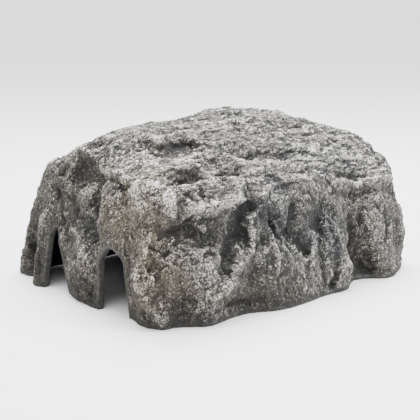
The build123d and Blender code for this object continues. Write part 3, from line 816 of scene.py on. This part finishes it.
def laminate():
    """The glass mat inside, in five sheets that meet at the corners and the brow."""
    names = ("front_laminate", "right_end_laminate", "rear_laminate", "left_end_laminate",
             "crown_laminate")
    points, faces, groups, _, _, _ = carved_rock(INNER_CELL)
    lie = level_near_floor(outward(points, faces), points)
    even = smoothed(lie, edges_of(faces), 3)
    fibres = field(points / (3.0, 3.0, 9.0), lambda p: noise.fractal(p, 0.7, 2.2, 3))
    outer = points - even * SMOOTH_WALL
    inner = outer - even * (MAT_THICKNESS + 0.7 * fibres)[:, None]
    outer[:, 2] = np.maximum(outer[:, 2], RIM_HEIGHT - 0.5)
    inner[:, 2] = np.maximum(inner[:, 2], RIM_HEIGHT - 0.5)
    gap, edge = clear_of_doors(outer, 3.0)
    close = np.abs(gap) < STICK * INNER_CELL
    outer[close, 1:] = edge[close]
    inner[close, 1:] = edge[close]
    gap[close] = 0
    standing = points[faces][:, :, 2].max(axis=1) > RIM_HEIGHT
    keep = (gap[faces].mean(axis=1) > 0) & standing
    paint = laminate_paint()
    for group, name in enumerate(names):
        chosen = keep & (groups == group)
        outer_part, part_faces, used = kept_part(outer, faces, chosen)
        item = make_mesh(name + "_mat", *thick_sheet(outer_part, inner[used], part_faces))
        dress(item, name, paint)


def door_lip(name, door, coat_edge, paint):
    """The smooth rolled band round one door, following the stone's edge."""
    outline = door_outline(door)[1:-1]
    before = np.concatenate([outline[:1], outline[:-1]])
    after = np.concatenate([outline[1:], outline[-1:]])
    run = (after - before) / np.linalg.norm(after - before, axis=1)[:, None]
    out = np.stack([run[:, 1], -run[:, 0]], -1)
    shares = 1 / (np.linalg.norm(outline[:, None] - coat_edge[None, :, 1:], axis=2) - LIP_SHOWS + 3)**3
    face_x = (shares * coat_edge[None, :, 0]).sum(axis=1) / shares.sum(axis=1)
    for _ in range(4):
        face_x[1:-1] = (face_x[:-2] + 2 * face_x[1:-1] + face_x[2:]) / 4
    path = np.column_stack([face_x, outline])
    sideways = np.column_stack([np.zeros(len(out)), out])
    upward = np.tile([-1.0, 0.0, 0.0], (len(out), 1))
    roll = [(LIP_WIDTH + 0.6, -3.0), (LIP_WIDTH - 1.0, -1.2), (2.6, 0.1), (1.6, 0.2), (0.8, -0.3),
            (0.2, -1.2), (0.0, -2.6), (0.0, -LIP_DEPTH + 2), (0.5, -LIP_DEPTH + 0.7),
            (1.8, -LIP_DEPTH), (LIP_WIDTH, -LIP_DEPTH), (LIP_WIDTH + 0.6, -LIP_DEPTH + 2)]
    rough = field(path / 9, lambda p: noise.noise(p)) * 0.5
    profiles = [[(u + r * 0.5, v + r) if v > -LIP_DEPTH + 3 else (u, v) for u, v in roll] for r in rough]
    item = make_mesh(name + "_roll", *swept(path, sideways, upward, profiles))
    dress(item, name, paint)


def foot_rims(foot):
    """The dark resin bead that closes the foot, in the runs between corners and doors."""
    count = len(foot)
    n = round(FRONT_RUN / CELL)
    m = round(END_RUN / CELL)
    starts = np.cumsum([0, n, m, n, m])
    ahead = np.roll(foot, -1, axis=0)
    behind = np.roll(foot, 1, axis=0)
    run = ahead - behind
    inward = np.column_stack([-run[:, 1], run[:, 0], np.zeros(count)])
    reach = max(2, round(14 / CELL))
    inward = sum(np.roll(inward, k, axis=0) for k in range(-reach, reach + 1))
    inward /= np.linalg.norm(inward, axis=1)[:, None]
    lift = np.zeros(count)
    rear = np.arange(n + 1) / n
    lift[starts[2]:starts[3] + 1] = REAR_GAP * np.clip(6 * np.minimum(rear, 1 - rear), 0, 1)
    gap, _ = clear_of_doors(np.column_stack([foot[:, :2], np.ones(count)]), LIP_WIDTH - 1)
    runs = {"front_rim": range(starts[0], starts[1] + 1),
            "right_end_rim": range(starts[1], starts[2] + 1),
            "rear_rim": range(starts[2], starts[3] + 1)}
    left = [q % count for q in range(starts[3], starts[4] + 1)]
    pieces = []
    for q in left:
        if gap[q] > 0:
            if not pieces or pieces[-1][-1] != (q - 1) % count:
                pieces.append([])
            pieces[-1].append(q)
    for name, piece in zip(("rear_pillar_foot", "centre_pillar_foot", "near_pillar_foot"), pieces):
        runs[name] = piece
    paint = rim_paint()
    for name, columns in runs.items():
        columns = [q % count for q in columns]
        profiles = []
        for q in columns:
            low = lift[q]
            profiles.append([(0.4, FOOT_LINE + 2.5), (0.4, low + 1.6), (0.8, low + 0.5), (1.8, low),
                             (RIM_WIDTH - 1, low), (RIM_WIDTH, low + 1), (RIM_WIDTH, RIM_HEIGHT - 1),
                             (RIM_WIDTH - 1, RIM_HEIGHT), (3.0, RIM_HEIGHT)])
        path = np.column_stack([foot[columns, :2], np.zeros(len(columns))])
        upward = np.tile([0.0, 0.0, 1.0], (len(columns), 1))
        item = make_mesh(name + "_bead", *swept(path, inward[columns], upward, profiles))
        dress(item, name, paint)


# ---------------------------------------------------------------- paint

class Paint:
    """A material whose colour is worked out by nodes; every maker returns a node output."""

    def __init__(self, name, roughness, shine):
        self.material = bpy.data.materials.new(name)
        self.material.use_nodes = True
        self.nodes = self.material.node_tree.nodes
        self.links = self.material.node_tree.links
        self.shader = self.nodes["Principled BSDF"]
        self.shader.inputs["Roughness"].default_value = roughness
        self.shader.inputs["Specular IOR Level"].default_value = shine
        self.spot = self.nodes.new("ShaderNodeTexCoord").outputs["Object"]

    def feed(self, socket, value):
        """Link an output to a socket, or set the socket to a plain value."""
        if isinstance(value, bpy.types.NodeSocket):
            self.links.new(value, socket)
        else:
            socket.default_value = value

    def grain(self, size_mm, detail=3.0, rough=0.55, bend=0.0, squeeze=(1, 1, 1)):
        """Cloudy noise of about the given size, around 0 and mostly within -1..1."""
        where = self.spot
        if squeeze != (1, 1, 1):
            mapping = self.nodes.new("ShaderNodeMapping")
            mapping.inputs["Scale"].default_value = squeeze
            self.links.new(self.spot, mapping.inputs["Vector"])
            where = mapping.outputs["Vector"]
        cloud = self.nodes.new("ShaderNodeTexNoise")
        self.links.new(where, cloud.inputs["Vector"])
        cloud.inputs["Scale"].default_value = 1000.0 / size_mm
        cloud.inputs["Detail"].default_value = detail
        cloud.inputs["Roughness"].default_value = rough
        cloud.inputs["Distortion"].default_value = bend
        return self.spread(cloud.outputs["Fac"], 0.26, 0.74, -1, 1, False)

    def guide(self, name):
        """A value written on the mesh."""
        reader = self.nodes.new("ShaderNodeAttribute")
        reader.attribute_name = name
        return reader.outputs["Fac"]

    def height_mm(self):
        """Height above the floor."""
        parts = self.nodes.new("ShaderNodeSeparateXYZ")
        self.links.new(self.spot, parts.inputs["Vector"])
        return self.maths("MULTIPLY", parts.outputs["Z"], 1000.0)

    def maths(self, operation, a, b):
        """One sum of two values."""
        node = self.nodes.new("ShaderNodeMath")
        node.operation = operation
        self.feed(node.inputs[0], a)
        self.feed(node.inputs[1], b)
        return node.outputs["Value"]

    def total(self, *shares):
        """Sum of (value, weight) pairs."""
        whole = 0.0
        for value, weight in shares:
            whole = self.maths("ADD", self.maths("MULTIPLY", value, weight), whole)
        return whole

    def spread(self, value, low, high, to_low=0.0, to_high=1.0, clamp=True):
        """A value remapped from one range to another."""
        node = self.nodes.new("ShaderNodeMapRange")
        node.clamp = clamp
        self.feed(node.inputs["Value"], value)
        node.inputs["From Min"].default_value = low
        node.inputs["From Max"].default_value = high
        node.inputs["To Min"].default_value = to_low
        node.inputs["To Max"].default_value = to_high
        return node.outputs["Result"]

    def coats(self, share, under, over):
        """One colour laid over another."""
        node = self.nodes.new("ShaderNodeMix")
        node.data_type = "RGBA"
        self.feed(node.inputs["Factor"], share)
        colour_sockets = [s for s in node.inputs if s.type == "RGBA"]
        for socket, colour in zip(colour_sockets, (under, over)):
            self.feed(socket, colour if isinstance(colour, bpy.types.NodeSocket) else (*colour, 1.0))
        return [s for s in node.outputs if s.type == "RGBA"][0]

    def roughen(self, height, depth_mm, strength):
        """Small bumps too fine for the mesh."""
        bump = self.nodes.new("ShaderNodeBump")
        bump.inputs["Strength"].default_value = strength
        bump.inputs["Distance"].default_value = depth_mm / 1000.0
        self.feed(bump.inputs["Height"], height)
        self.links.new(bump.outputs["Normal"], self.shader.inputs["Normal"])


def stone_paint():
    """Grey stone paint: dark and mid greys in patches, warm at the left end, washed dark in the
    hollows (partly the paint's own wash, partly painted shade) and dry-brushed with off-white on
    everything that stands proud, with a painted highlight on everything that lies up."""
    p = Paint("stone_coat_paint", 0.82, 0.25)
    fine, mid, broad = p.guide("proud_fine"), p.guide("proud_mid"), p.guide("proud_broad")
    up, left, gap = p.guide("lies_up"), p.guide("faces_left"), p.guide("door_gap")
    tone_and_painted_light, tint = p.guide("tone_and_painted_light"), p.guide("tint")
    patch = p.grain(60, 3, 0.6, 0.4)
    blotch = p.grain(17, 3, 0.6, 0.6)
    dapple = p.grain(6.5, 3, 0.65, 0.5)
    thread = p.spread(p.maths("ABSOLUTE", p.grain(5.0, 2, 0.6, 0.8), 0.0), 0.0, 1.0, 0.6, -2.2)
    speck = p.total((p.grain(2.9, 1, 0.7), 0.55), (p.grain(1.7, 1, 0.6), 0.75), (thread, 0.55))
    along_roof = p.grain(8, 4, 0.7, 1.2, (0.30, 1.0, 1.6))
    down_walls = p.grain(8, 4, 0.7, 1.2, (1.3, 1.0, 0.40))
    fine_lines = p.grain(3.3, 2, 0.65, 1.0, (0.28, 1.0, 1.5))
    roof_lines = p.total((along_roof, 1.15), (fine_lines, 0.95))
    streak = p.maths("ADD", p.maths("MULTIPLY", roof_lines, p.spread(up, 0.2, 0.6)),
                     p.maths("MULTIPLY", down_walls, p.spread(up, 0.2, 0.6, 1.0, 0.0)))
    # the fine speckle comes and goes in patches, and is weaker on the roof
    busy = p.total((p.grain(24, 3, 0.6, 0.5), 1.0), (mid, 0.3), (tone_and_painted_light, 0.2))
    busy = p.spread(busy, -0.9, 0.9, 0.45, 1.5)
    salt = p.maths("MULTIPLY", p.maths("MULTIPLY", speck, busy), p.spread(up, 0.2, 0.7, 1.0, 0.5))

    # base greys, brown and blue-grey tints, the blue-grey in gullies partly a painted shade, and the
    # dark wash in what is sunk, partly the paint's own wash and partly painted shade in the hollows
    lighter = p.spread(p.total((patch, 0.5), (blotch, 0.6), (dapple, 0.5)), -0.6, 0.7)
    grey = p.coats(lighter, GREY_DARK, GREY_MID)
    warmth = p.spread(p.total((tint, 1.1), (left, 0.75), (blotch, 0.5), (patch, 0.3)), 0.0, 1.5)
    grey = p.coats(p.maths("MULTIPLY", warmth, 0.75), grey, BROWN)
    # blue-grey: the paint's own tone, and in gullies and recesses partly painted shade
    coolness = p.spread(p.total((tint, -1.2), (patch, -0.8), (dapple, 0.4), (left, -0.8)), 0.1, 1.2)
    grey = p.coats(p.maths("MULTIPLY", coolness, 0.6), grey, BLUE_GREY)
    sunk = p.total((tone_and_painted_light, -0.8), (fine, -0.20), (mid, -0.40), (broad, -0.40), (dapple, -0.25))
    sunk = p.spread(sunk, -0.2, 1.3)
    grey = p.coats(p.maths("MULTIPLY", sunk, 0.75), grey, WASH_AND_SHADE)

    # two dry-brushed coats on what stands proud, broken by grit, and a painted highlight from above on
    # what faces up; single grains in the hollows too
    stands = p.spread(p.total((fine, 0.38), (mid, 0.30), (broad, 0.34)), -1.5, 1.3, -1.5, 1.3)
    # painted highlight on what faces up and painted shade on what faces down, as if lit from above
    painted_top_light = p.spread(up, -0.30, 0.60, -0.95, -0.22)
    grit = p.total((streak, 0.75), (blotch, 0.45), (dapple, 0.40), (salt, 1.2))
    # the grit lightens more where the surface faces up: more painted highlight from above
    grit = p.maths("MULTIPLY", grit, p.spread(up, 0.1, 0.7, 1.0, 1.85))
    # this mix is dry-brush paint and painted highlight together
    brushed = p.total((tone_and_painted_light, 1.15), (stands, 0.80), (painted_top_light, 0.85), (patch, 0.50), (grit, 1.0))
    grains = p.spread(p.total((salt, 1.1), (dapple, 0.4), (streak, 0.4), (fine, 0.3)), 0.3, 1.9)
    grey = p.coats(p.maths("MULTIPLY", grains, 0.40), grey, PALE)
    first = p.spread(brushed, -0.40, 1.50)
    second = p.spread(brushed, 0.90, 2.7)
    coat = p.coats(p.maths("MULTIPLY", first, 0.8), grey, p.coats(warmth, PALE, PALE_WARM))
    coat = p.coats(p.maths("MULTIPLY", second, 0.9), coat, OFF_WHITE)
    # wash left in the pits, partly the paint's own wash and partly painted shade; smooth grey round the
    # doors; and the coat darker towards the floor
    pits = p.spread(p.total((grit, -0.9), (patch, -0.3), (fine, -0.25), (mid, -0.15),
                            (tone_and_painted_light, -0.5)), 0.2, 1.4)
    coat = p.coats(p.maths("MULTIPLY", pits, 0.8), coat, WASH_AND_SHADE)
    by_door = p.maths("MULTIPLY", p.spread(gap, 3.0, 9.0, 1.0, 0.0), 0.5)
    coat = p.coats(by_door, coat, GREY_SMOOTH)
    # the coat darkens towards the floor, to the same dark as the rim beads
    foot = p.spread(p.total((p.height_mm(), 1.0), (blotch, 6.0)), 2.0, 16.0, 0.8, 0.0)
    coat = p.coats(foot, coat, FOOT_DARK)
    p.feed(p.shader.inputs["Base Color"], coat)
    p.feed(p.shader.inputs["Roughness"], p.spread(dapple, -1.0, 1.0, 0.7, 0.92))
    p.roughen(p.total((salt, 0.7), (p.grain(4.5, 3, 0.7, 0.4), 0.8), (p.grain(1.3, 1), 0.2)), 1.0, 0.9)
    return p.material


def laminate_paint():
    """Black resin over glass mat, a little glossy, with strands showing."""
    p = Paint("laminate_resin", 0.5, 0.4)
    strands = p.grain(3, 3, 0.7, 1.5, (1.0, 1.0, 0.25))
    black = p.coats(p.spread(strands, -0.4, 1.0), RESIN_BLACK, RESIN_GREY)
    p.feed(p.shader.inputs["Base Color"], black)
    p.feed(p.shader.inputs["Roughness"], p.spread(strands, -1.0, 1.0, 0.4, 0.7))
    p.roughen(strands, 1.0, 0.7)
    return p.material


def rim_paint():
    """Dark resin at the foot, scuffed where it was trimmed."""
    p = Paint("rim_resin", 0.7, 0.3)
    scuff = p.grain(7, 4, 0.65, 0.6)
    p.feed(p.shader.inputs["Base Color"], p.coats(p.spread(scuff, -0.5, 1.0), FOOT_DARK, FOOT_WORN))
    p.feed(p.shader.inputs["Roughness"], p.spread(scuff, -1.0, 1.0, 0.6, 0.85))
    p.roughen(p.grain(2.5, 2), 0.7, 0.6)
    return p.material


def lip_paint():
    """Smooth mid grey resin with a dappling of the stone's paint."""
    p = Paint("door_lip_resin", 0.7, 0.3)
    dapple = p.grain(7, 4, 0.65, 0.5)
    speck = p.grain(2.4, 2, 0.7)
    tone = p.spread(p.total((dapple, 0.7), (speck, 0.6)), -0.8, 1.2)
    p.feed(p.shader.inputs["Base Color"], p.coats(tone, LIP_DARK, LIP_GREY))
    p.roughen(p.total((dapple, 0.4), (speck, 0.5)), 0.8, 0.7)
    return p.material


# ---------------------------------------------------------------- the studio

def floor():
    """A plain pale floor that runs off to the horizon."""
    mesh = bpy.data.meshes.new("studio_floor")
    mesh.from_pydata([(-FLOOR_HALF, -FLOOR_HALF, 0), (FLOOR_HALF, -FLOOR_HALF, 0),
                      (FLOOR_HALF, FLOOR_HALF, 0), (-FLOOR_HALF, FLOOR_HALF, 0)], [], [(0, 1, 2, 3)])
    item = bpy.data.objects.new("studio_floor", mesh)
    bpy.context.scene.collection.objects.link(item)
    p = Paint("studio_paper", 0.6, 0.2)
    white = p.coats(p.spread(p.grain(40, 3), -1, 1), FLOOR_SHADE, FLOOR_WHITE)
    p.feed(p.shader.inputs["Base Color"], white)
    mesh.materials.append(p.material)


def area_light(name, spot, aim, width, power):
    """A square soft light."""
    light = bpy.data.lights.new(name, "AREA")
    light.size = width
    light.energy = power
    item = bpy.data.objects.new(name, light)
    item.location = spot
    item.rotation_euler = (Vector(aim) - Vector(spot)).to_track_quat("-Z", "Y").to_euler()
    bpy.context.scene.collection.objects.link(item)


def studio():
    """Soft white surroundings, one broad light over the rock and a weak one in front."""
    floor()
    world = bpy.data.worlds.new("studio_white")
    world.use_nodes = True
    nodes, links = world.node_tree.nodes, world.node_tree.links
    facing = nodes.new("ShaderNodeTexCoord").outputs["Generated"]
    parts = nodes.new("ShaderNodeSeparateXYZ")
    links.new(facing, parts.inputs["Vector"])
    shades = []
    for start, stop, at_start, at_stop in ((0.0, 1.0, WALL_LIGHT, ZENITH_LIGHT),
                                           (0.0, HORIZON_GLOW_HEIGHT, HORIZON_GLOW, 0.0)):
        shade = nodes.new("ShaderNodeMapRange")
        links.new(parts.outputs["Z"], shade.inputs["Value"])
        shade.inputs["From Min"].default_value = start
        shade.inputs["From Max"].default_value = stop
        shade.inputs["To Min"].default_value = at_start
        shade.inputs["To Max"].default_value = at_stop
        shades.append(shade.outputs["Result"])
    brightness = nodes.new("ShaderNodeMath")
    links.new(shades[0], brightness.inputs[0])
    links.new(shades[1], brightness.inputs[1])
    nodes["Background"].inputs["Color"].default_value = (1.0, 1.0, 1.0, 1.0)
    links.new(brightness.outputs["Value"], nodes["Background"].inputs["Strength"])
    bpy.context.scene.world = world
    area_light("top_light", (0.3, 0.5, 2.4), (0.0, 0.0, 0.1), 1.6, TOP_LIGHT)
    area_light("front_light", (1.6, -2.2, 1.7), (0.1, 0.0, 0.1), 1.2, FRONT_LIGHT)


def camera():
    """A long lens, left of the near corner and looking slightly down."""
    yaw, pitch = math.radians(CAMERA_YAW), math.radians(CAMERA_PITCH)
    lens = bpy.data.cameras.new("camera")
    lens.lens = CAMERA_LENS
    lens.sensor_width = 36
    item = bpy.data.objects.new("camera", lens)
    item.location = CAMERA_PLACE
    gaze = Vector((math.sin(yaw) * math.cos(pitch), math.cos(yaw) * math.cos(pitch), -math.sin(pitch)))
    item.rotation_euler = gaze.to_track_quat("-Z", "Y").to_euler()
    bpy.context.scene.collection.objects.link(item)
    bpy.context.scene.camera = item


# ---------------------------------------------------------------- building the scene

coat_edge, foot = stone_coat()
laminate()
lip_resin = lip_paint()
for name, door in DOORS.items():
    middle = (door["far_foot"] + door["near_foot"]) / 2
    own = coat_edge[np.abs(coat_edge[:, 1] - middle) < 60]
    door_lip(name + "_door_lip", door, own, lip_resin)
foot_rims(foot)
studio()
camera()
